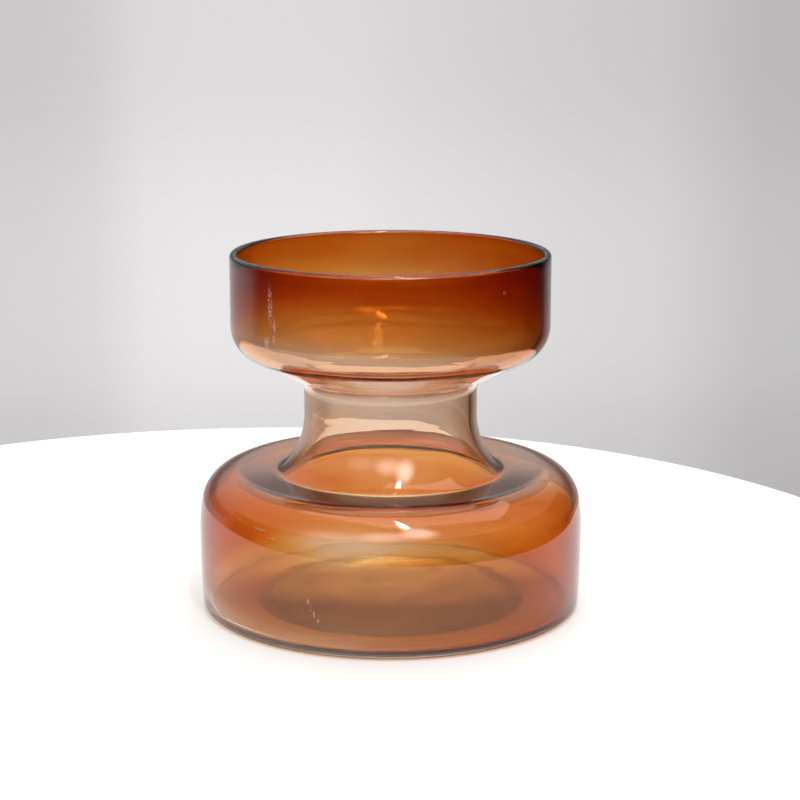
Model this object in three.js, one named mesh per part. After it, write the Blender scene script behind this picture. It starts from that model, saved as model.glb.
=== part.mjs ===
// Glass vase: a cup-shaped mouth, a narrow waist and a wide drum with a rounded shoulder.
// It is mould-blown cased glass: a clear outer gather over a thin amber lining.
// Millimetres, +Z up, origin at the centre of the surface it stands on.
import * as THREE from 'three';

// Driving dimensions

// Heights above the surface it stands on
const vaseHeight = 145;
const drumHeight = 57; // top of the shoulder's round
const bellyHeight = 33; // widest level of the drum
const waistLength = 9.8; // straight stretch of the neck

// Outer diameters
const mouthDiameter = 128.5;
const waistDiameter = 70;
const drumDiameter = 156; // at its widest level

// Outer bends
const heelRadius = 3;
const wallArcRadius = 560; // the drum's wall is very slightly barrelled
const barrelArcRadius = 75; // it starts to close in gently above the belly
const shoulderRadius = 15.2;
const crownDip = 4; // degrees: the top of the drum falls gently to the neck
const neckFilletRadius = 2.5; // where the neck meets the top of the drum
const flareRadius = 31;
const flareAngle = 47; // degrees of arc in the flared foot of the neck
const collarRadius = 5.5; // corner between the neck and the cup
const cupSlope = 26.6; // degrees: underside of the cup above level
const cupBendRadius = 14.3;

// Glass
const casingWall = 2; // clear outer gather
const liningWall = 0.9; // amber inner layer
const layerClearance = 0.3; // between the two layers
const floorThickness = 1.8; // clear glass under the lining
const innerHeelRadius = 3.6; // inside corner of the clear glass at the floor
const floorCrown = 0.8; // the inside floor rises this much to its middle
const puntDiameter = 110; // hollow under the foot, inside the ring it stands on
const puntDepth = 1.2;
const liningTopInset = 1.5; // the amber stops this far under the clear lip

// Smoothness
const turnSteps = 60;
const arcStep = 22; // degrees, at most, between points of a round
const lipSteps = 4;
const floorSteps = 2;

const clearGlass = new THREE.MeshStandardMaterial({
  color: 0xd3d9d2,
  roughness: 0.04,
  metalness: 0,
  transparent: true,
  opacity: 0.35,
});
const amberGlass = new THREE.MeshStandardMaterial({
  color: 0xb4561a,
  roughness: 0.05,
  metalness: 0,
  transparent: true,
  opacity: 0.7,
});

const radians = (degrees) => (degrees * Math.PI) / 180;
const degrees = (turn) => (turn * 180) / Math.PI;

// Points along an arc, from one angle to another in degrees, counted from the outward direction
function arcPoints(centre, radius, from, to) {
  const steps = Math.max(2, Math.ceil(Math.abs(to - from) / arcStep));
  const points = [];
  for (let i = 0; i <= steps; i += 1) {
    const angle = radians(from + ((to - from) * i) / steps);
    points.push(
      new THREE.Vector2(centre.x + radius * Math.cos(angle), centre.y + radius * Math.sin(angle)),
    );
  }
  return points;
}

// A shallow dome from a rim radius to the axis, as heights above the rim
function domePoints(rimRadius, rimHeight, rise) {
  const sphere = (rimRadius ** 2 + rise ** 2) / (2 * rise);
  const points = [];
  for (let i = 0; i <= floorSteps; i += 1) {
    const r = rimRadius * (1 - i / floorSteps);
    points.push(new THREE.Vector2(r, rimHeight + Math.sqrt(sphere ** 2 - r ** 2) - sphere + rise));
  }
  return points;
}

// Centres of the outer bends. Each inner surface turns about the same centres.
const wallCentre = new THREE.Vector2(drumDiameter / 2 - wallArcRadius, bellyHeight);
const barrelCentre = new THREE.Vector2(drumDiameter / 2 - barrelArcRadius, bellyHeight);
const barrelReach = barrelArcRadius - shoulderRadius;
const barrelRise = Math.asin((drumHeight - shoulderRadius - bellyHeight) / barrelReach);
const shoulderCentre = new THREE.Vector2(
  barrelCentre.x + barrelReach * Math.cos(barrelRise),
  drumHeight - shoulderRadius,
);
const flareReach = flareRadius - neckFilletRadius;
const filletCentreX =
  waistDiameter / 2 + flareRadius - flareReach * Math.cos(radians(flareAngle));
const crownInnerX = filletCentreX + neckFilletRadius * Math.sin(radians(crownDip));
const crownOuterX = shoulderCentre.x - shoulderRadius * Math.sin(radians(crownDip));
const crownOuterY = shoulderCentre.y + shoulderRadius * Math.cos(radians(crownDip));
const crownInnerY = crownOuterY - (crownOuterX - crownInnerX) * Math.tan(radians(crownDip));
const filletCentre = new THREE.Vector2(
  filletCentreX,
  crownInnerY + neckFilletRadius * Math.cos(radians(crownDip)),
);
const flareCentre = new THREE.Vector2(
  waistDiameter / 2 + flareRadius,
  filletCentre.y + flareReach * Math.sin(radians(flareAngle)),
);
const collarCentre = new THREE.Vector2(
  waistDiameter / 2 + collarRadius,
  flareCentre.y + waistLength,
);
const collarEndX = collarCentre.x - collarRadius * Math.sin(radians(cupSlope));
const collarEndY = collarCentre.y + collarRadius * Math.cos(radians(cupSlope));
const cupBendStartX =
  mouthDiameter / 2 - cupBendRadius + cupBendRadius * Math.sin(radians(cupSlope));
const cupBendCentre = new THREE.Vector2(
  mouthDiameter / 2 - cupBendRadius,
  collarEndY +
    (cupBendStartX - collarEndX) * Math.tan(radians(cupSlope)) +
    cupBendRadius * Math.cos(radians(cupSlope)),
);

// The bottom corner, from level to the wall's slight lean, and the drum's wall above it,
// set in from the outer surface by a depth into the glass
function wallPoints(depth, cornerRadius, cornerHeight) {
  const reach = wallArcRadius - depth - cornerRadius;
  const lean = -degrees(Math.asin((bellyHeight - cornerHeight) / reach));
  const cornerX = wallCentre.x + reach * Math.cos(radians(lean));
  const cornerCentre = new THREE.Vector2(cornerX, cornerHeight);
  return [
    ...arcPoints(cornerCentre, cornerRadius, -90, lean),
    ...arcPoints(wallCentre, wallArcRadius - depth, lean, 0).slice(1),
    ...arcPoints(barrelCentre, barrelArcRadius - depth, 0, degrees(barrelRise)).slice(1),
  ];
}

// The side of the vase from the shoulder to the top of the cup's bend,
// set in from the outer surface by a depth into the glass
function sidePoints(depth) {
  return [
    ...arcPoints(shoulderCentre, shoulderRadius - depth, degrees(barrelRise), 90 + crownDip).slice(1),
    ...arcPoints(filletCentre, neckFilletRadius + depth, 270 + crownDip, 180 + flareAngle),
    ...arcPoints(flareCentre, flareRadius + depth, 180 + flareAngle, 180).slice(1),
    ...arcPoints(collarCentre, collarRadius + depth, 180, 90 + cupSlope),
    ...arcPoints(cupBendCentre, cupBendRadius - depth, cupSlope - 90, 0),
  ];
}

// An inner surface from the axis up to the cup's bend: floor, inside corner, drum wall and side
function innerPoints(depth, floor) {
  const cornerRadius = Math.max(innerHeelRadius - (depth - casingWall), 1);
  const wall = wallPoints(depth, cornerRadius, floor + cornerRadius);
  return [
    ...domePoints(wall[0].x, floor, floorCrown).reverse(),
    ...wall.slice(1),
    ...sidePoints(depth),
  ];
}

// A round top edge between an outer and an inner radius
function lipPoints(outerRadius, innerRadius, top) {
  const radius = (outerRadius - innerRadius) / 2;
  const points = [];
  for (let i = 0; i <= lipSteps; i += 1) {
    const angle = (Math.PI * i) / lipSteps;
    points.push(
      new THREE.Vector2(
        innerRadius + radius + radius * Math.cos(angle),
        top - radius + radius * Math.sin(angle),
      ),
    );
  }
  return points;
}

function turned(name, profile, material) {
  const mesh = new THREE.Mesh(new THREE.LatheGeometry(profile, turnSteps), material);
  mesh.name = name;
  mesh.rotation.x = Math.PI / 2;
  return mesh;
}

// Clear outer gather: foot ring, punt, drum, neck, cup and the rounded lip
function clearCasing() {
  const mouthRadius = mouthDiameter / 2;
  return turned(
    'clear_casing',
    [
      ...domePoints(puntDiameter / 2, 0, puntDepth).reverse(),
      ...wallPoints(0, heelRadius, heelRadius),
      ...sidePoints(0),
      ...lipPoints(mouthRadius, mouthRadius - casingWall, vaseHeight),
      ...innerPoints(casingWall, floorThickness).reverse(),
    ],
    clearGlass,
  );
}

// Amber lining: lies inside the clear gather all over and stops just under the lip
function amberLining() {
  const outerDepth = casingWall + layerClearance;
  const innerDepth = outerDepth + liningWall;
  const outerFloor = floorThickness + layerClearance;
  const mouthRadius = mouthDiameter / 2;
  return turned(
    'amber_lining',
    [
      ...innerPoints(outerDepth, outerFloor),
      ...lipPoints(mouthRadius - outerDepth, mouthRadius - innerDepth, vaseHeight - liningTopInset),
      ...innerPoints(innerDepth, outerFloor + liningWall).reverse(),
    ],
    amberGlass,
  );
}

const vase = new THREE.Group();
vase.add(clearCasing(), amberLining());

export default vase;
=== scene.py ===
import math

import bpy
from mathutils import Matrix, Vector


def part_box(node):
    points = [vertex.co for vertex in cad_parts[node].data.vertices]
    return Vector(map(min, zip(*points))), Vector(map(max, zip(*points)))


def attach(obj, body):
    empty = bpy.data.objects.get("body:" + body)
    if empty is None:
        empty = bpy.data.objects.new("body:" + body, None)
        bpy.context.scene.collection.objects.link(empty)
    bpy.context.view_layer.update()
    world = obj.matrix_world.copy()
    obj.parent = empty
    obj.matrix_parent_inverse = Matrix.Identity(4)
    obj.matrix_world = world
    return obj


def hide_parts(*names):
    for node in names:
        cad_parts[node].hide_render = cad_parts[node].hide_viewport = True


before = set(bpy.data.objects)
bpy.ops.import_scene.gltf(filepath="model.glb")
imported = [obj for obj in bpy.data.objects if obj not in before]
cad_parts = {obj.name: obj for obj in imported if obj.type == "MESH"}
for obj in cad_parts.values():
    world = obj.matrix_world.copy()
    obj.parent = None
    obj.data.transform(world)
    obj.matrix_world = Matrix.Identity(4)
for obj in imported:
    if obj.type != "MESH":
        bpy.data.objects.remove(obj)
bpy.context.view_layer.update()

mm = 0.001
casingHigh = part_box("clear_casing")[1]

vaseShape = {
    "height": casingHigh.z,
    "bellyRadius": casingHigh.x,
    "bellyHeight": 33 * mm,  # widest level of the drum
    "wallRound": 560 * mm,  # the drum's wall is very slightly barrelled
    "barrelRound": 75 * mm,  # it starts to close in gently above the belly
    "shoulderRound": 15.2 * mm,
    "drumHeight": 57 * mm,
    "heelRound": 3 * mm,
    "crownDip": 4,  # degrees, from the shoulder down to the neck
    "neckFillet": 2.5 * mm,
    "flareRound": 31 * mm,
    "flareArc": 47,  # degrees
    "waistRadius": 35 * mm,
    "waistLength": 9.8 * mm,  # straight stretch of the neck
    "collarRound": 5.5 * mm,
    "cupSlope": 26.6,  # degrees, underside of the cup above level
    "cupRound": 14.3 * mm,
    "mouthRadius": 64.25 * mm,
    "puntRadius": 55 * mm,  # hollow inside the foot ring
    "puntDepth": 1.2 * mm,
}
wallShape = {
    "clearWall": 2 * mm,
    "fullWall": 3.2 * mm,
    "fuseGap": 0.02 * mm,  # the layers are fused, so this is only drawing room
    "innerHeel": 2.4 * mm,
    "fullFloor": 3 * mm,
    "floorRise": 0.8 * mm,  # the inside floor rises this much to its middle
}
smoothness = {
    "turnSteps": 240,
    "arcStep": 0.9 * mm,
    "lineStep": 3.2 * mm,
    "fewestSteps": 4,  # in an arc
    "startSize": 0.5 * mm,  # the plane that is shrunk to the first point of a line
    "sameSpot": 0.01 * mm,  # bends that end and start this close need no line between them
    "weldGap": 0.004 * mm,
    "sharpAngle": 40,  # degrees
}


def deselectAll():
    if bpy.context.object and bpy.context.object.mode != "OBJECT":
        bpy.ops.object.mode_set(mode="OBJECT")
    bpy.ops.object.select_all(action="DESELECT")


# A bend is (centre x, centre z, radius, from, to), in degrees from the outward direction.
def bendPoint(bend, angle):
    x, z, radius = bend[:3]
    turn = math.radians(angle)
    return x + radius * math.cos(turn), z + radius * math.sin(turn)


def corner(x, z):
    return (x, z, 0.0, 0.0, 0.0)


# The outside of the drum, from its heel up to its shoulder.
def wallBends():
    s = vaseShape
    wallX = s["bellyRadius"] - s["wallRound"]
    reach = s["wallRound"] - s["heelRound"]
    rise = math.asin((s["bellyHeight"] - s["heelRound"]) / reach)
    lean = -math.degrees(rise)
    return [
        (wallX + reach * math.cos(rise), s["heelRound"], s["heelRound"], -90, lean),
        (wallX, s["bellyHeight"], s["wallRound"], lean, 0),
        (s["bellyRadius"] - s["barrelRound"], s["bellyHeight"], s["barrelRound"], 0, barrelArc()),
    ]


def barrelArc():
    s = vaseShape
    rise = s["drumHeight"] - s["shoulderRound"] - s["bellyHeight"]
    return math.degrees(math.asin(rise / (s["barrelRound"] - s["shoulderRound"])))


# The centres that every side bend turns about, whatever its depth.
def sideCentres():
    s = vaseShape
    dip, arc, slope = (math.radians(s[key]) for key in ("crownDip", "flareArc", "cupSlope"))
    barrel = math.radians(barrelArc())
    shoulderX = (
        s["bellyRadius"] - s["barrelRound"] + (s["barrelRound"] - s["shoulderRound"]) * math.cos(barrel)
    )
    shoulderZ = s["drumHeight"] - s["shoulderRound"]
    flareX = s["waistRadius"] + s["flareRound"]
    flareReach = s["flareRound"] - s["neckFillet"]
    filletX = flareX - flareReach * math.cos(arc)
    crownRun = shoulderX - filletX - (s["shoulderRound"] + s["neckFillet"]) * math.sin(dip)
    filletZ = (
        shoulderZ
        + (s["shoulderRound"] + s["neckFillet"]) * math.cos(dip)
        - crownRun * math.tan(dip)
    )
    flareZ = filletZ + flareReach * math.sin(arc)
    collarX = s["waistRadius"] + s["collarRound"]
    collarZ = flareZ + s["waistLength"]
    cupX = s["mouthRadius"] - s["cupRound"]
    slopeRun = cupX + s["cupRound"] * math.sin(slope) - collarX + s["collarRound"] * math.sin(slope)
    cupZ = (
        collarZ
        + (s["collarRound"] + s["cupRound"]) * math.cos(slope)
        + slopeRun * math.tan(slope)
    )
    return {
        "shoulder": (shoulderX, shoulderZ),
        "fillet": (filletX, filletZ),
        "flare": (flareX, flareZ),
        "collar": (collarX, collarZ),
        "cup": (cupX, cupZ),
    }


# The inside corner at the floor: how far out its centre lies, and where it meets the wall.
def innerTouch(z, radius):
    s = vaseShape
    reach = s["wallRound"] - wallShape["fullWall"] - radius
    angle = math.asin((z - s["bellyHeight"]) / reach)
    return s["bellyRadius"] - s["wallRound"] + reach * math.cos(angle), math.degrees(angle)


# The bends of the vase's side at a depth into the glass, from the shoulder to the cup.
def sideBends(depth):
    s, centres = vaseShape, sideCentres()
    return [
        (*centres["shoulder"], s["shoulderRound"] - depth, barrelArc(), 90 + s["crownDip"]),
        (*centres["fillet"], s["neckFillet"] + depth, 270 + s["crownDip"], 180 + s["flareArc"]),
        (*centres["flare"], s["flareRound"] + depth, 180 + s["flareArc"], 180),
        (*centres["collar"], s["collarRound"] + depth, 180, 90 + s["cupSlope"]),
        (*centres["cup"], s["cupRound"] - depth, s["cupSlope"] - 90, 0),
    ]


# A shallow dome from the axis out to a rim.
def domeBend(rimRadius, rimHeight, rise):
    sphere = (rimRadius**2 + rise**2) / (2 * rise)
    edge = math.degrees(math.acos(rimRadius / sphere))
    return (0.0, rimHeight + rise - sphere, sphere, 90, edge)


# An inner skin, so far into the glass from the bare inner face, from the floor up to the cup.
def innerBends(inset):
    s, w = vaseShape, wallShape
    heelZ = w["fullFloor"] + w["innerHeel"]
    heelX, lean = innerTouch(heelZ, w["innerHeel"])
    heelRound = w["innerHeel"] + inset
    depth = w["fullWall"] - inset
    wallX, barrelX = (s["bellyRadius"] - s[key] for key in ("wallRound", "barrelRound"))
    return [
        domeBend(heelX, heelZ - heelRound, w["floorRise"]),
        (heelX, heelZ, heelRound, -90, lean),
        (wallX, s["bellyHeight"], s["wallRound"] - depth, lean, 0),
        (barrelX, s["bellyHeight"], s["barrelRound"] - depth, 0, barrelArc()),
        *sideBends(depth),
    ]


# Draws bends as a line of edges from a single vertex, and turns it round the vase's axis.
def turnSkin(name, bends, material):
    deselectAll()
    startX, startZ = bendPoint(bends[0], bends[0][3])
    bpy.ops.mesh.primitive_plane_add(
        size=smoothness["startSize"], location=(startX, 0, startZ)
    )
    skin = bpy.context.object
    skin.name = name
    bpy.ops.object.transform_apply(location=True, rotation=True, scale=True)
    bpy.ops.object.mode_set(mode="EDIT")
    bpy.ops.mesh.select_mode(type="VERT")
    bpy.ops.mesh.select_all(action="SELECT")
    bpy.ops.mesh.merge(type="CENTER")
    x, z = startX, startZ
    for bend in bends:
        nextX, nextZ = bendPoint(bend, bend[3])
        run = math.hypot(nextX - x, nextZ - z)
        steps = 0
        if run > smoothness["sameSpot"]:
            steps = math.ceil(run / smoothness["lineStep"])
        for _ in range(steps):
            move = ((nextX - x) / steps, 0, (nextZ - z) / steps)
            bpy.ops.mesh.extrude_region_move(TRANSFORM_OT_translate={"value": move})
        x, z = bendPoint(bend, bend[4])
        arc = math.radians(bend[4] - bend[3])
        length = abs(arc) * bend[2]
        if length > 0:
            bpy.ops.mesh.spin(
                steps=max(smoothness["fewestSteps"], math.ceil(length / arcStepFor(bend))),
                angle=arc,
                center=(bend[0], 0, bend[1]),
                axis=(0, 1, 0),
            )
    bpy.ops.mesh.select_all(action="SELECT")
    bpy.ops.mesh.spin(
        steps=smoothness["turnSteps"],
        angle=2 * math.pi,
        center=(0, 0, 0),
        axis=(0, 0, 1),
        use_auto_merge=True,
    )
    bpy.ops.mesh.select_all(action="SELECT")
    bpy.ops.mesh.remove_doubles(threshold=smoothness["weldGap"])
    bpy.ops.object.mode_set(mode="OBJECT")
    skin.data.materials.append(material)
    return skin


# Wide bends are nearly straight, so they take the longer step of a line.
def arcStepFor(bend):
    return smoothness["lineStep"] if bend[2] > vaseShape["height"] else smoothness["arcStep"]


# Joins two skins that share their rim into one closed piece with its faces outwards.
def closeSkins(name, first, second):
    deselectAll()
    second.select_set(True)
    first.select_set(True)
    bpy.context.view_layer.objects.active = first
    bpy.ops.object.join()
    piece = bpy.context.object
    piece.name = name
    piece.data.name = name
    bpy.ops.object.mode_set(mode="EDIT")
    bpy.ops.mesh.select_all(action="SELECT")
    bpy.ops.mesh.remove_doubles(threshold=smoothness["weldGap"])
    bpy.ops.mesh.normals_make_consistent(inside=False)
    bpy.ops.object.mode_set(mode="OBJECT")
    bpy.ops.object.shade_smooth_by_angle(angle=math.radians(smoothness["sharpAngle"]))
    return piece


# sRGB hex to linear colour
def hexColour(code):
    channels = [int(code[i : i + 2], 16) / 255 for i in (1, 3, 5)]
    linear = [c / 12.92 if c <= 0.04045 else ((c + 0.055) / 1.055) ** 2.4 for c in channels]
    return (*linear, 1.0)


# Adds a node, sets its values and links its inputs.
def addNode(tree, kind, values=None, links=None, **settings):
    node = tree.nodes.new(kind)
    for key, value in settings.items():
        setattr(node, key, value)
    for key, value in (values or {}).items():
        node.inputs[key].default_value = value
    for key, source in (links or {}).items():
        tree.links.new(source, node.inputs[key])
    return node


def addMath(tree, operation, first, second=None, **settings):
    links, values = {}, {}
    for slot, value in ((0, first), (1, second)):
        if isinstance(value, (int, float)):
            values[slot] = value
        elif value is not None:
            links[slot] = value
    node = addNode(tree, "ShaderNodeMath", values, links, operation=operation, **settings)
    return node.outputs[0]


# A smooth curve through (place, height) points, read at a socket's value.
def addCurve(tree, value, points):
    low, high = points[0][0], points[-1][0]
    most = max(height for _, height in points)
    share = addNode(
        tree, "ShaderNodeMapRange", {"From Min": low, "From Max": high}, {"Value": value}
    )
    curve = addNode(tree, "ShaderNodeFloatCurve", links={"Value": share.outputs[0]})
    line = curve.mapping.curves[0]
    places = [((place - low) / (high - low), height / most) for place, height in points]
    line.points[0].location = places[0]
    line.points[1].location = places[-1]
    for place in places[1:-1]:
        line.points.new(*place)
    for point in line.points:
        point.handle_type = "AUTO_CLAMPED"
    curve.mapping.update()
    return addMath(tree, "MULTIPLY", curve.outputs[0], most)


def newMaterial(name):
    material = bpy.data.materials.new(name)
    material.use_nodes = True
    material.node_tree.nodes.clear()
    return material, material.node_tree


def finishMaterial(tree, surface):
    addNode(tree, "ShaderNodeOutputMaterial", links={"Surface": surface})


clearGlass = {
    "ior": 1.51,
    "tint": "#F6F8F4",
    "edgeShade": "#2E302F",  # painted shade: a grey-black that darkens the drum and its crown where they are looked at edge on
    "edgeShadeTop": (57 * mm, 62 * mm),
    "edgeShadeCrown": (60 * mm, 67 * mm),  # inside this ring the painted shade lies full, outside only in part
    "crownFacing": (0.67, 0.78),
    "sideFacing": (0.5, 0.85),
    "sideShare": (0.72, 0.22),  # on the drum's wall and on its shoulder
    "shoulderEdge": (40 * mm, 48 * mm),
    "groundTop": (0.1 * mm, 0.4 * mm),  # the ground foot ring ends here
    "groundRough": 0.5,
    "groundVeil": 0.3,
}

amberGlass = {
    "thinStain": "#DEA380",  # what one unit of amber lets through where it is thin
    "deepStain": "#E1A55E",  # and where it is thick
    "stainUnits": (0.3, 1.0),
    # height in mm, units of amber
    "depth": [
        (0, 0.1),
        (4, 0.35),
        (8, 0.75),
        (12, 0.95),
        (20, 1.05),
        (28, 1.2),
        (36, 1.22),
        (44, 0.95),
        (49, 0.68),
        (52, 0.6),
        (55, 0.62),
        (57.5, 0.55),
        (61, 0.3),
        (66, 0.27),
        (92, 0.28),
        (100, 0.3),
        (108, 0.42),
        (116, 0.86),
        (128, 1.65),
        (140, 2.2),
        (145, 2.3),
    ],
    "floorEdge": (67 * mm, 72.5 * mm),  # no amber on the floor inside this ring
    "floorTop": (7 * mm, 9 * mm),
    "tilt": 0.08,  # the amber reaches lower towards +X, so much per length
    "drift": 0.22,  # how much the blown layer wanders in thickness
    "driftSize": 70 * mm,
    "streak": 0.22,  # and how much its fine streaks do, which run nearly level
    "streakScale": (16, 16, 95),  # per metre
    # a patch at the front where the amber was blown thin: its middle, half sizes and share lost
    "thinPlace": (-16 * mm, -72 * mm, 43 * mm),
    "thinSize": (30 * mm, 40 * mm, 9 * mm),
    "thinFade": (0.2, 1.2),  # share of the half size where it starts and ends to fade
    "thinLoss": 0.42,
    "flattest": 0.3,  # cosine of the slant past which the stain grows no deeper
}


# How far a point lies from the vase's axis.
def axisDistance(tree, parts):
    level = addNode(
        tree,
        "ShaderNodeCombineXYZ",
        links={0: parts.outputs["X"], 1: parts.outputs["Y"]},
    )
    length = addNode(tree, "ShaderNodeVectorMath", links={0: level.outputs[0]}, operation="LENGTH")
    return length.outputs["Value"]


# Rises smoothly from 0 to 1 between two values.
def addStep(tree, value, edges):
    step = addNode(
        tree,
        "ShaderNodeMapRange",
        {"From Min": edges[0], "From Max": edges[1]},
        {"Value": value},
        interpolation_type="SMOOTHSTEP",
    )
    return step.outputs[0]


# Gentle waves of blown glass, drawn out round the vase as it turned in the mould.
def glassRipple(tree, settings):
    place = addNode(tree, "ShaderNodeTexCoord")
    parts = addNode(tree, "ShaderNodeSeparateXYZ", links={0: place.outputs["Object"]})
    down = addMath(tree, "ADD", parts.outputs["Z"], axisDistance(tree, parts))
    around = 1 / settings["around"]
    across = 1 / settings["across"]
    spot = addNode(
        tree,
        "ShaderNodeCombineXYZ",
        links={
            0: addMath(tree, "MULTIPLY", parts.outputs["X"], around),
            1: addMath(tree, "MULTIPLY", parts.outputs["Y"], around),
            2: addMath(tree, "MULTIPLY", down, across),
        },
    )
    wave = addNode(
        tree,
        "ShaderNodeTexNoise",
        {"Scale": 1.0, "Detail": 2.0, "Roughness": 0.45},
        {"Vector": spot.outputs[0]},
    )
    bump = addNode(
        tree,
        "ShaderNodeBump",
        {"Strength": 1.0, "Distance": settings["height"]},
        {"Height": wave.outputs[0]},
    )
    return bump.outputs[0]


outerRipple = {"around": 60 * mm, "across": 18 * mm, "height": 0.12 * mm}
innerRipple = {"around": 45 * mm, "across": 12 * mm, "height": 0.16 * mm}


# Small faults and marks of use: middle and half size in mm, grain size in mm, the part of
# the grain that shows, its colour and how dull it is.
markFade = (0.5, 1.1)  # share of the half size where a mark starts and ends to fade
glassMarks = [
    {  # lime scale run down the cup's left front
        "places": [
            ((-45.5, -45, 131), (1.0, 4, 9)),
            ((-44, -46.5, 121), (0.7, 4, 6)),
            ((-47, -44, 116), (1.2, 4, 3)),
        ],
        "grain": 0.9,
        "edge": (0.42, 0.6),
        "colour": "#F1E9E4",
        "veil": 0.4,
    },
    {  # carbon seeds caught in the glass
        "places": [
            ((43.2, -47.5, 136), (0.6, 1.5, 0.6)),
            ((-57.5, -48, 47.5), (1.1, 2, 0.9)),
            ((17, -76, 26), (0.35, 2, 0.35)),
            ((-33, -70, 18), (0.3, 2, 0.3)),
        ],
        "grain": 3.0,
        "edge": (0.2, 0.35),
        "colour": "#3A1A0A",
        "veil": 0.9,
    },
    {  # fine scratches on the drum
        "places": [
            ((-50, -58.5, 46.5), (6, 3, 0.28)),
            ((-44, -61.5, 44), (4, 3, 0.22)),
            ((-31, -71.5, 22), (0.4, 3, 1.8)),
            ((-30, -72, 19.5), (0.4, 3, 1.8)),
            ((-28.8, -72.5, 17), (0.4, 3, 1.8)),
            ((-27.2, -73, 14.7), (0.5, 3, 1.6)),
            ((31, -71.5, 41.5), (9, 4, 0.25)),
        ],
        "grain": 1.4,
        "edge": (0.36, 0.55),
        "colour": "#F4E6D8",
        "veil": 0.35,
    },
]


# 1 inside the marks, broken up by fine noise.
def markMask(tree, place, marks):
    grain = addNode(
        tree,
        "ShaderNodeTexNoise",
        {"Scale": 1 / (marks["grain"] * mm), "Detail": 3.0},
        {"Vector": place.outputs["Object"]},
    )
    mask = 0.0
    for middle, half in marks["places"]:
        off = addNode(
            tree,
            "ShaderNodeVectorMath",
            {1: [value * mm for value in middle]},
            {0: place.outputs["Object"]},
            operation="SUBTRACT",
        )
        off = addNode(
            tree,
            "ShaderNodeVectorMath",
            {1: [value * mm for value in half]},
            {0: off.outputs[0]},
            operation="DIVIDE",
        )
        off = addNode(tree, "ShaderNodeVectorMath", links={0: off.outputs[0]}, operation="LENGTH")
        inside = addMath(tree, "SUBTRACT", 1.0, addStep(tree, off.outputs["Value"], markFade))
        mask = addMath(tree, "MAXIMUM", inside, mask)
    return addMath(tree, "MULTIPLY", mask, addStep(tree, grain.outputs[0], marks["edge"]))


# Soda-lime glass, blown in a mould and fire-polished: hard bright reflections, faint grey-green.
# The foot ring it stands on is ground dull. Where the drum and its crown are seen edge on, they are
# darkened by painted shade.
def clearSodaGlass():
    material, tree = newMaterial("clearSodaGlass")
    place = addNode(tree, "ShaderNodeTexCoord")
    parts = addNode(tree, "ShaderNodeSeparateXYZ", links={0: place.outputs["Object"]})
    groundLow, groundHigh = clearGlass["groundTop"]
    foot = addNode(
        tree,
        "ShaderNodeMapRange",
        {"From Min": groundLow, "From Max": groundHigh, "To Min": 1.0, "To Max": 0.0},
        {"Value": parts.outputs["Z"]},
    )
    # Painted shade: by Layer Weight's facing value the glass colour turns grey-black at the drum's
    # edges and on its crown.
    slant = addNode(tree, "ShaderNodeLayerWeight", {"Blend": 0.5})
    onCrown = addStep(tree, slant.outputs["Facing"], clearGlass["crownFacing"])
    onSide = addStep(tree, slant.outputs["Facing"], clearGlass["sideFacing"])
    wallShare, shoulderShare = clearGlass["sideShare"]
    share = addStep(tree, parts.outputs["Z"], clearGlass["shoulderEdge"])
    share = addMath(tree, "MULTIPLY", share, shoulderShare - wallShare)
    share = addMath(tree, "ADD", share, wallShare)
    side = addStep(tree, axisDistance(tree, parts), clearGlass["edgeShadeCrown"])
    edgeShade = addNode(
        tree,
        "ShaderNodeMix",
        links={0: side, 2: onCrown, 3: addMath(tree, "MULTIPLY", onSide, share)},
    )
    above = addStep(tree, parts.outputs["Z"], clearGlass["edgeShadeTop"])
    below = addMath(tree, "SUBTRACT", 1.0, above)
    tinted = addNode(
        tree,
        "ShaderNodeMix",
        {6: hexColour(clearGlass["tint"]), 7: hexColour(clearGlass["edgeShade"])},
        {0: addMath(tree, "MULTIPLY", edgeShade.outputs[0], below)},
        data_type="RGBA",
    )
    veil = addMath(tree, "MULTIPLY", foot.outputs[0], clearGlass["groundVeil"])
    for marks in glassMarks:
        spot = markMask(tree, place, marks)
        tinted = addNode(
            tree,
            "ShaderNodeMix",
            {7: hexColour(marks["colour"])},
            {0: spot, 6: tinted.outputs[2]},
            data_type="RGBA",
        )
        veil = addMath(tree, "MAXIMUM", veil, addMath(tree, "MULTIPLY", spot, marks["veil"]))
    shader = addNode(
        tree,
        "ShaderNodeBsdfPrincipled",
        {"IOR": clearGlass["ior"]},
        {
            "Base Color": tinted.outputs[2],
            "Roughness": addMath(tree, "MULTIPLY", foot.outputs[0], clearGlass["groundRough"]),
            "Transmission Weight": addMath(tree, "SUBTRACT", 1.0, veil),
            "Normal": glassRipple(tree, outerRipple),
        },
    )
    finishMaterial(tree, shader.outputs[0])
    return material


# Where the two layers are fused there is no surface to see.
def fusedSeam():
    material, tree = newMaterial("fusedSeam")
    shader = addNode(tree, "ShaderNodeBsdfTransparent", {"Color": hexColour("#FFFFFF")})
    finishMaterial(tree, shader.outputs[0])
    return material


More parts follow.
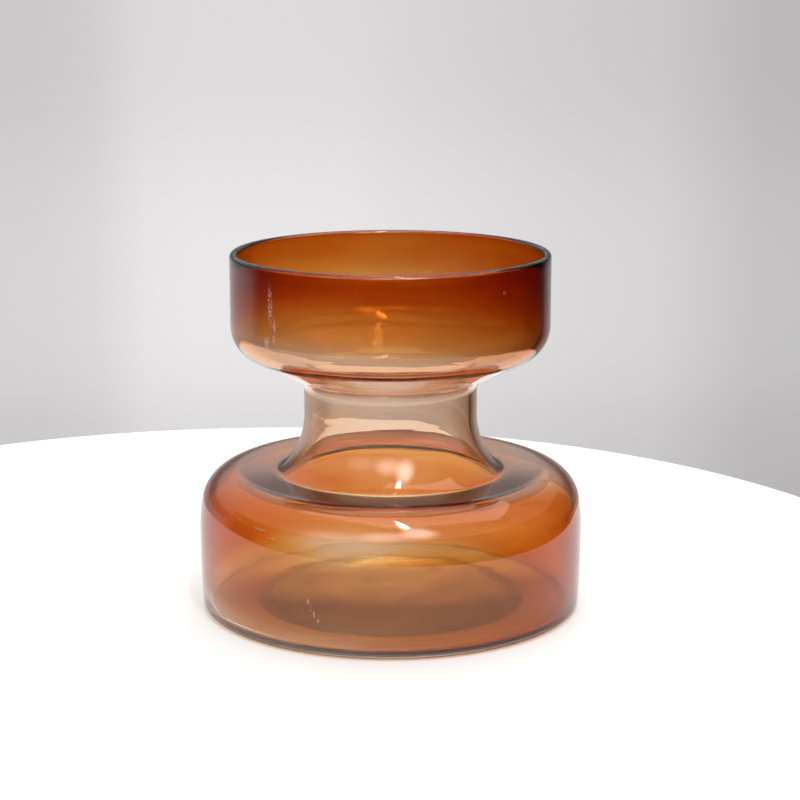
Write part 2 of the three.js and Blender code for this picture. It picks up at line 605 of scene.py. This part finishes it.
# Amber overlay: its colour deepens with its thickness, which changes up the vase,
# and with the slant at which it is looked through.
def amberOverlay():
    material, tree = newMaterial("amberOverlay")
    place = addNode(tree, "ShaderNodeTexCoord")
    parts = addNode(tree, "ShaderNodeSeparateXYZ", links={0: place.outputs["Object"]})
    height = addMath(
        tree,
        "ADD",
        parts.outputs["Z"],
        addMath(tree, "MULTIPLY", parts.outputs["X"], amberGlass["tilt"]),
    )
    height = addMath(tree, "DIVIDE", height, mm)
    depth = addCurve(tree, height, amberGlass["depth"])
    wall = addStep(tree, axisDistance(tree, parts), amberGlass["floorEdge"])
    above = addStep(tree, parts.outputs["Z"], amberGlass["floorTop"])
    depth = addMath(tree, "MULTIPLY", depth, addMath(tree, "MAXIMUM", wall, above))
    wander = addNode(
        tree,
        "ShaderNodeTexNoise",
        {"Scale": 1 / amberGlass["driftSize"], "Detail": 2.0, "Roughness": 0.4},
        {"Vector": place.outputs["Object"]},
    )
    drift = addMath(tree, "MULTIPLY", wander.outputs[0], 2 * amberGlass["drift"])
    drift = addMath(tree, "ADD", drift, 1 - amberGlass["drift"])
    depth = addMath(tree, "MULTIPLY", depth, drift)
    laid = addNode(
        tree,
        "ShaderNodeVectorMath",
        {1: amberGlass["streakScale"]},
        {0: place.outputs["Object"]},
        operation="MULTIPLY",
    )
    streak = addNode(
        tree,
        "ShaderNodeTexNoise",
        {"Scale": 1.0, "Detail": 4.0, "Roughness": 0.55, "Distortion": 0.6},
        {"Vector": laid.outputs[0]},
    )
    streak = addMath(tree, "MULTIPLY", streak.outputs[0], 2 * amberGlass["streak"])
    depth = addMath(
        tree, "MULTIPLY", depth, addMath(tree, "ADD", streak, 1 - amberGlass["streak"])
    )
    off = addNode(
        tree,
        "ShaderNodeVectorMath",
        {1: amberGlass["thinPlace"]},
        {0: place.outputs["Object"]},
        operation="SUBTRACT",
    )
    off = addNode(
        tree,
        "ShaderNodeVectorMath",
        {1: amberGlass["thinSize"]},
        {0: off.outputs[0]},
        operation="DIVIDE",
    )
    off = addNode(tree, "ShaderNodeVectorMath", links={0: off.outputs[0]}, operation="LENGTH")
    thin = addStep(tree, off.outputs["Value"], amberGlass["thinFade"])
    thin = addMath(tree, "SUBTRACT", 1.0, thin)
    thin = addMath(tree, "MULTIPLY", thin, amberGlass["thinLoss"])
    depth = addMath(tree, "MULTIPLY", depth, addMath(tree, "SUBTRACT", 1.0, thin))
    slant = addNode(tree, "ShaderNodeLayerWeight", {"Blend": 0.5})
    straight = addMath(tree, "SUBTRACT", 1.0, slant.outputs["Facing"])
    straight = addMath(tree, "MAXIMUM", straight, amberGlass["flattest"])
    path = addMath(tree, "DIVIDE", depth, straight)
    deep = addNode(
        tree,
        "ShaderNodeMapRange",
        dict(zip(("From Min", "From Max"), amberGlass["stainUnits"])),
        {"Value": depth},
    )
    stain = addNode(
        tree,
        "ShaderNodeMix",
        {6: hexColour(amberGlass["thinStain"]), 7: hexColour(amberGlass["deepStain"])},
        {0: deep.outputs[0]},
        data_type="RGBA",
    )
    colour = addNode(
        tree,
        "ShaderNodeGamma",
        links={"Color": stain.outputs[2], "Gamma": path},
    )
    shader = addNode(tree, "ShaderNodeBsdfTransparent", links={"Color": colour.outputs[0]})
    finishMaterial(tree, shader.outputs[0])
    return material


# The bare inner face of the blown wall: smooth and wavy, so what it mirrors is softly bent.
def innerGlassFace():
    material, tree = newMaterial("innerGlassFace")
    shader = addNode(
        tree,
        "ShaderNodeBsdfPrincipled",
        {
            "Base Color": hexColour("#FFFFFF"),
            "Roughness": 0.0,
            "IOR": clearGlass["ior"],
            "Transmission Weight": 1.0,
        },
        {"Normal": glassRipple(tree, innerRipple)},
    )
    finishMaterial(tree, shader.outputs[0])
    return material


# The lip is one full round over both layers. The seam meets it at this angle.
def lipBend(depth):
    s = vaseShape
    radius = wallShape["fullWall"] / 2
    x = s["mouthRadius"] - radius
    angle = math.degrees(math.acos((s["mouthRadius"] - depth - x) / radius))
    return x, s["height"] - radius, radius, angle


def buildCasing(outerGlass, seam):
    s, w = vaseShape, wallShape
    lipX, lipZ, lipRound, seamAngle = lipBend(w["clearWall"])
    lip = (lipX, lipZ, lipRound, 0, seamAngle)
    outside = [
        domeBend(s["puntRadius"], 0.0, s["puntDepth"]),
        corner(s["puntRadius"], 0.0),
        *wallBends(),
        *sideBends(0.0),
        lip,
    ]
    inside = [*innerBends(w["fullWall"] - w["clearWall"]), corner(*bendPoint(lip, seamAngle))]
    piece = closeSkins(
        "clearCasing",
        turnSkin("casingOutside", outside, outerGlass),
        turnSkin("casingInside", inside, seam),
    )
    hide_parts("clear_casing")
    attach(piece, "root")
    return piece


def buildLining(overlay, innerFace):
    w = wallShape
    outerDepth = w["clearWall"] + w["fuseGap"]
    lipX, lipZ, lipRound, seamAngle = lipBend(outerDepth)
    lip = (lipX, lipZ, lipRound, 180, seamAngle)
    inside = [*innerBends(0.0), lip]
    outside = [*innerBends(w["fullWall"] - outerDepth), corner(*bendPoint(lip, seamAngle))]
    piece = closeSkins(
        "amberLining",
        turnSkin("liningInside", inside, innerFace),
        turnSkin("liningOutside", outside, overlay),
    )
    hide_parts("amber_lining")
    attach(piece, "root")
    return piece


studio = {
    "floorRadius": 300 * mm,
    "floorCentre": (-60 * mm, 10 * mm),
    "floorThickness": 12 * mm,
    "floorDrop": 0.05 * mm,  # keeps the floor clear of the foot ring
    "floorColour": "#F6F5F3",
    "floorShade": "#F1EFEC",
    "floorGrain": 9 * mm,
    # painted light on the floor under the glass, standing in for what the glass gathers: mm from its
    # bright spot, level
    "brightSpot": (0, 48 * mm, 0),
    "spotStretch": (0.6, 1.0, 1.0),
    "hollowLight": [
        (0, 1.7),
        (8, 1.6),
        (16, 1.1),
        (28, 0.64),
        (40, 0.48),
        (52, 0.34),
        (60, 0.2),
        (66, 0.08),
        (110, 0.06),
    ],
    "hollowEdge": (53.5 * mm, 56 * mm),
    "swirl": 0.9,  # how uneven that light is
    "swirlSize": 26 * mm,
    # under the foot ring it is amber in front and white at the back
    "ringLight": 0.68,
    "ringBack": 1.6,
    "ringTurn": (5 * mm, 45 * mm),
    "ringColour": "#FFAC60",
    "whiteLight": "#FFFDF9",
    "footEdge": (74 * mm, 78 * mm),
    "shadowedPaintShare": 0.2,  # share of the paint's colour left under the vase: the rest is painted shadow
    "mirrorGlow": 0.32,  # the open floor's own glow, where it shows in the glass
    "openGlow": 0.3,  # and as the camera sees it
    "worldColour": "#FFFDFD",
    # degrees round from the back to the right, brightness of the studio's wall
    "wallLight": [
        (-180, 0.6),
        (-130, 0.55),
        (-90, 0.42),
        (-62, 0.58),
        (-25, 0.66),
        (-11, 0.67),
        (-8, 0.73),
        (-5.5, 0.82),
        (-3, 0.82),
        (0, 0.78),
        (5, 0.7),
        (8, 0.66),
        (9.2, 0.57),
        (20, 0.5),
        (40, 0.3),
        (90, 0.24),
        (130, 0.5),
        (180, 0.6),
    ],
    # degrees up from level, share of the wall's brightness
    "heightLight": [
        (-90, 0.3),
        (-35, 0.35),
        (-22, 0.7),
        (-13, 0.9),
        (-9.5, 1.0),
        (-2, 0.88),
        (6, 0.92),
        (25, 1.2),
        (90, 1.2),
    ],
    # soft windows, which show only in the glass: degrees round and up, half width and height, level
    "windows": [
        (160, 44, 12, 16, 8.0),
        (-176, 37, 17, 12, 4.0),
        (-140, 32, 18, 11, 1.2),
        (166, 72, 5, 13, 40.0),
    ],
    "windowEdge": (0.2, 1.45),  # share of the half size where a window starts and ends to fade
    "windowPower": 2.2,  # 2 is an oval, more is squarer
    "mirrorTop": 22.0,  # degrees up: above this the wall shows in the glass in full
    # degrees up from level, how much of the wall shows in the glass
    "mirrorRise": [(-90, 1.0), (-3, 1.0), (3, 0.5), (9, 0.42), (15, 0.9), (90, 1.0)],
    "throughTurn": (80, 100),  # degrees round: past this the wall shows through the glass in full
    # degrees round, how much of the wall shows in the glass: elsewhere it is dimmed as black cards
    # would dim it
    "mirrorShare": [
        (-180, 0.03),
        (-85, 0.1),
        (-70, 0.4),
        (-55, 1.0),
        (28, 1.0),
        (40, 0.3),
        (55, 0.06),
        (180, 0.03),
    ],
    # bearing from the vase's middle: degrees round from the back, degrees up, metres off;
    # then width and height in metres, and watts
    "lamps": {
        "sparkLamp": ((166, 60, 1.4), (0.02, 0.12), 2.5),
        "overheadSoftbox": ((60, 78, 1.4), (1.6, 1.6), 12),
    },
}

cameraSettings = {
    "place": (3.8 * mm, -820.7 * mm, 265.2 * mm),
    "tiltDown": 12.44,  # degrees
    "lens": 93.31,
    "sensor": 36,
    "nearest": 0.01,
}


# Painted light that stands in for what the glass gathers under the vase: white behind the hollow's
# middle, falling to a dim crescent in front, amber under the foot ring. Gives its level and colour.
def gatheredLight(tree, fromVase, under, hollow):
    parts = addNode(tree, "ShaderNodeSeparateXYZ", links={0: fromVase})
    spot = addNode(
        tree,
        "ShaderNodeVectorMath",
        {1: studio["brightSpot"]},
        {0: fromVase},
        operation="SUBTRACT",
    )
    spot = addNode(
        tree,
        "ShaderNodeVectorMath",
        {1: studio["spotStretch"]},
        {0: spot.outputs[0]},
        operation="MULTIPLY",
    )
    spot = addNode(tree, "ShaderNodeVectorMath", links={0: spot.outputs[0]}, operation="LENGTH")
    spot = addMath(tree, "DIVIDE", spot.outputs["Value"], mm)
    place = addNode(tree, "ShaderNodeTexCoord")
    swirl = addNode(
        tree,
        "ShaderNodeTexNoise",
        {"Scale": 1 / studio["swirlSize"], "Detail": 3.0, "Roughness": 0.55, "Distortion": 1.6},
        {"Vector": place.outputs["Object"]},
    )
    swirl = addMath(tree, "MULTIPLY", swirl.outputs[0], 2 * studio["swirl"])
    swirl = addMath(tree, "ADD", swirl, 1 - studio["swirl"])
    inHollow = addMath(tree, "MULTIPLY", addCurve(tree, spot, studio["hollowLight"]), swirl)
    back = addStep(tree, parts.outputs["Y"], studio["ringTurn"])
    gain = addMath(tree, "MULTIPLY", back, studio["ringBack"] - studio["ringLight"])
    onRing = addMath(tree, "ADD", gain, studio["ringLight"])
    light = addNode(tree, "ShaderNodeMix", links={0: hollow, 2: onRing, 3: inHollow})
    white = addMath(tree, "MAXIMUM", back, addMath(tree, "SUBTRACT", 1.0, under))
    colour = addNode(
        tree,
        "ShaderNodeMix",
        {6: hexColour(studio["ringColour"]), 7: hexColour(studio["whiteLight"])},
        {0: addMath(tree, "MAXIMUM", hollow, white)},
        data_type="RGBA",
    )
    return addMath(tree, "MULTIPLY", light.outputs[0], under), colour.outputs[2]


# Matt white paint, darkened under the vase as painted shadow, which glows with the gathered light under
# the vase as painted light.
def paintedFloor():
    material, tree = newMaterial("paintedFloor")
    place = addNode(tree, "ShaderNodeTexCoord")
    fromVase = addNode(
        tree,
        "ShaderNodeVectorMath",
        {1: (*studio["floorCentre"], 0)},
        {0: place.outputs["Object"]},
        operation="ADD",
    )
    parts = addNode(tree, "ShaderNodeSeparateXYZ", links={0: fromVase.outputs[0]})
    away = axisDistance(tree, parts)
    under = addMath(tree, "SUBTRACT", 1.0, addStep(tree, away, studio["footEdge"]))
    hollow = addMath(tree, "SUBTRACT", 1.0, addStep(tree, away, studio["hollowEdge"]))
    speckle = addNode(
        tree,
        "ShaderNodeTexNoise",
        {"Scale": 1 / studio["floorGrain"], "Detail": 4.0, "Roughness": 0.6},
        {"Vector": place.outputs["Object"]},
    )
    paint = addNode(
        tree,
        "ShaderNodeMix",
        {6: hexColour(studio["floorColour"]), 7: hexColour(studio["floorShade"])},
        {0: speckle.outputs[0]},
        data_type="RGBA",
    )
    # Painted shadow: the paint under the vase is darkened towards black.
    paint = addNode(
        tree,
        "ShaderNodeMix",
        {7: hexColour("#000000")},
        {0: addMath(tree, "MULTIPLY", under, 1.0 - studio["shadowedPaintShare"]), 6: paint.outputs[2]},
        data_type="RGBA",
    )
    ray = addNode(tree, "ShaderNodeLightPath")
    mirrored = addMath(tree, "MULTIPLY", ray.outputs["Is Glossy Ray"], studio["mirrorGlow"])
    seen = addMath(tree, "MULTIPLY", ray.outputs["Is Camera Ray"], studio["openGlow"])
    glow = addMath(tree, "ADD", mirrored, seen)
    glow = addMath(tree, "MULTIPLY", glow, addMath(tree, "SUBTRACT", 1.0, under))
    light, colour = gatheredLight(tree, fromVase.outputs[0], under, hollow)
    shader = addNode(
        tree,
        "ShaderNodeBsdfPrincipled",
        {"Roughness": 0.7},
        {
            "Base Color": paint.outputs[2],
            "Emission Color": colour,
            "Emission Strength": addMath(tree, "ADD", light, glow),
        },
    )
    finishMaterial(tree, shader.outputs[0])
    return material


def buildFloor():
    deselectAll()
    x, y = studio["floorCentre"]
    depth = studio["floorThickness"]
    bpy.ops.mesh.primitive_cylinder_add(
        vertices=160,
        radius=studio["floorRadius"],
        depth=depth,
        location=(x, y, -depth / 2 - studio["floorDrop"]),
    )
    floor = bpy.context.object
    floor.name = "paleFloor"
    floor.data.materials.append(paintedFloor())


# Soft ovals of light in the studio's wall.
def windowLight(tree, turn, rise):
    power = studio["windowPower"]
    total = 0.0
    for middle, up, halfWidth, halfHeight, level in studio["windows"]:
        aside = addNode(
            tree,
            "ShaderNodeMath",
            {1: 180.0, 2: -180.0},
            {0: addMath(tree, "SUBTRACT", turn, middle)},
            operation="WRAP",
        )
        aside = addMath(tree, "DIVIDE", addMath(tree, "ABSOLUTE", aside.outputs[0]), halfWidth)
        above = addMath(tree, "ABSOLUTE", addMath(tree, "SUBTRACT", rise, up))
        above = addMath(tree, "DIVIDE", above, halfHeight)
        reach = addMath(tree, "POWER", aside, power)
        reach = addMath(tree, "ADD", reach, addMath(tree, "POWER", above, power))
        reach = addMath(tree, "POWER", reach, 1 / power)
        fade = addStep(tree, reach, studio["windowEdge"])
        glow = addMath(tree, "MULTIPLY", addMath(tree, "SUBTRACT", 1.0, fade), level)
        total = addMath(tree, "ADD", glow, total)
    return total


# A pale studio wall all round, brightest behind. What the glass shows of it is dimmed at some bearings,
# as black cards would dim it, and its windows show in the glass alone.
def buildWorld():
    world = bpy.data.worlds.new("paleStudio")
    world.use_nodes = True
    tree = world.node_tree
    tree.nodes.clear()
    place = addNode(tree, "ShaderNodeTexCoord")
    way = addNode(tree, "ShaderNodeSeparateXYZ", links={0: place.outputs["Generated"]})
    turn = addMath(tree, "DEGREES", addMath(tree, "ARCTAN2", way.outputs["X"], way.outputs["Y"]))
    rise = addMath(tree, "DEGREES", addMath(tree, "ARCSINE", way.outputs["Z"]))
    light = addMath(
        tree,
        "MULTIPLY",
        addCurve(tree, turn, studio["wallLight"]),
        addCurve(tree, rise, studio["heightLight"]),
    )
    ray = addNode(tree, "ShaderNodeLightPath")
    aside = addMath(tree, "SUBTRACT", 1.0, addCurve(tree, turn, studio["mirrorShare"]))
    high = addMath(tree, "SUBTRACT", 1.0, addCurve(tree, rise, studio["mirrorRise"]))
    dark = addMath(tree, "MAXIMUM", aside, high)
    dark = addMath(tree, "MULTIPLY", dark, addMath(tree, "LESS_THAN", rise, studio["mirrorTop"]))
    dark = addMath(tree, "MULTIPLY", dark, ray.outputs["Is Glossy Ray"])
    through = addStep(tree, addMath(tree, "ABSOLUTE", turn), studio["throughTurn"])
    through = addMath(tree, "MULTIPLY", through, ray.outputs["Is Transmission Ray"])
    dark = addMath(tree, "MULTIPLY", dark, addMath(tree, "SUBTRACT", 1.0, through))
    light = addMath(tree, "MULTIPLY", light, addMath(tree, "SUBTRACT", 1.0, dark))
    windows = windowLight(tree, turn, rise)
    windows = addMath(tree, "MULTIPLY", windows, ray.outputs["Is Glossy Ray"])
    sky = addNode(
        tree,
        "ShaderNodeBackground",
        {"Color": hexColour(studio["worldColour"])},
        {"Strength": addMath(tree, "ADD", light, windows)},
    )
    addNode(tree, "ShaderNodeOutputWorld", links={"Surface": sky.outputs[0]})
    bpy.context.scene.world = world


# A lamp at a bearing from the vase's middle, turned to face it.
def softbox(name, bearing, size, power):
    turn, rise, distance = bearing
    across, up = math.radians(turn), math.radians(rise)
    level = distance * math.cos(up)
    place = (
        level * math.sin(across),
        level * math.cos(across),
        vaseShape["height"] / 2 + distance * math.sin(up),
    )
    deselectAll()
    bpy.ops.object.light_add(
        type="AREA", location=place, rotation=(math.pi / 2 - up, 0, math.pi - across)
    )
    lamp = bpy.context.object
    lamp.name = name
    lamp.data.shape = "RECTANGLE"
    lamp.data.size, lamp.data.size_y = size
    lamp.data.energy = power
    lamp.visible_camera = False


def buildLights():
    for name, (bearing, size, power) in studio["lamps"].items():
        softbox(name, bearing, size, power)


def buildCamera():
    deselectAll()
    tilt = math.radians(90 - cameraSettings["tiltDown"])
    bpy.ops.object.camera_add(location=cameraSettings["place"], rotation=(tilt, 0, 0))
    camera = bpy.context.object
    camera.data.lens = cameraSettings["lens"]
    camera.data.sensor_width = cameraSettings["sensor"]
    camera.data.clip_start = cameraSettings["nearest"]
    bpy.context.scene.camera = camera


buildCamera()
print("camera placed")
buildFloor()
buildWorld()
buildLights()
print("studio lit")
buildCasing(clearSodaGlass(), fusedSeam())
print("clear casing turned")
buildLining(amberOverlay(), innerGlassFace())
print("amber lining turned")

scene = bpy.context.scene
scene.view_settings.view_transform = "Standard"
scene.cycles.max_bounces = 32
scene.cycles.transmission_bounces = 32
scene.cycles.glossy_bounces = 16
scene.cycles.transparent_max_bounces = 64
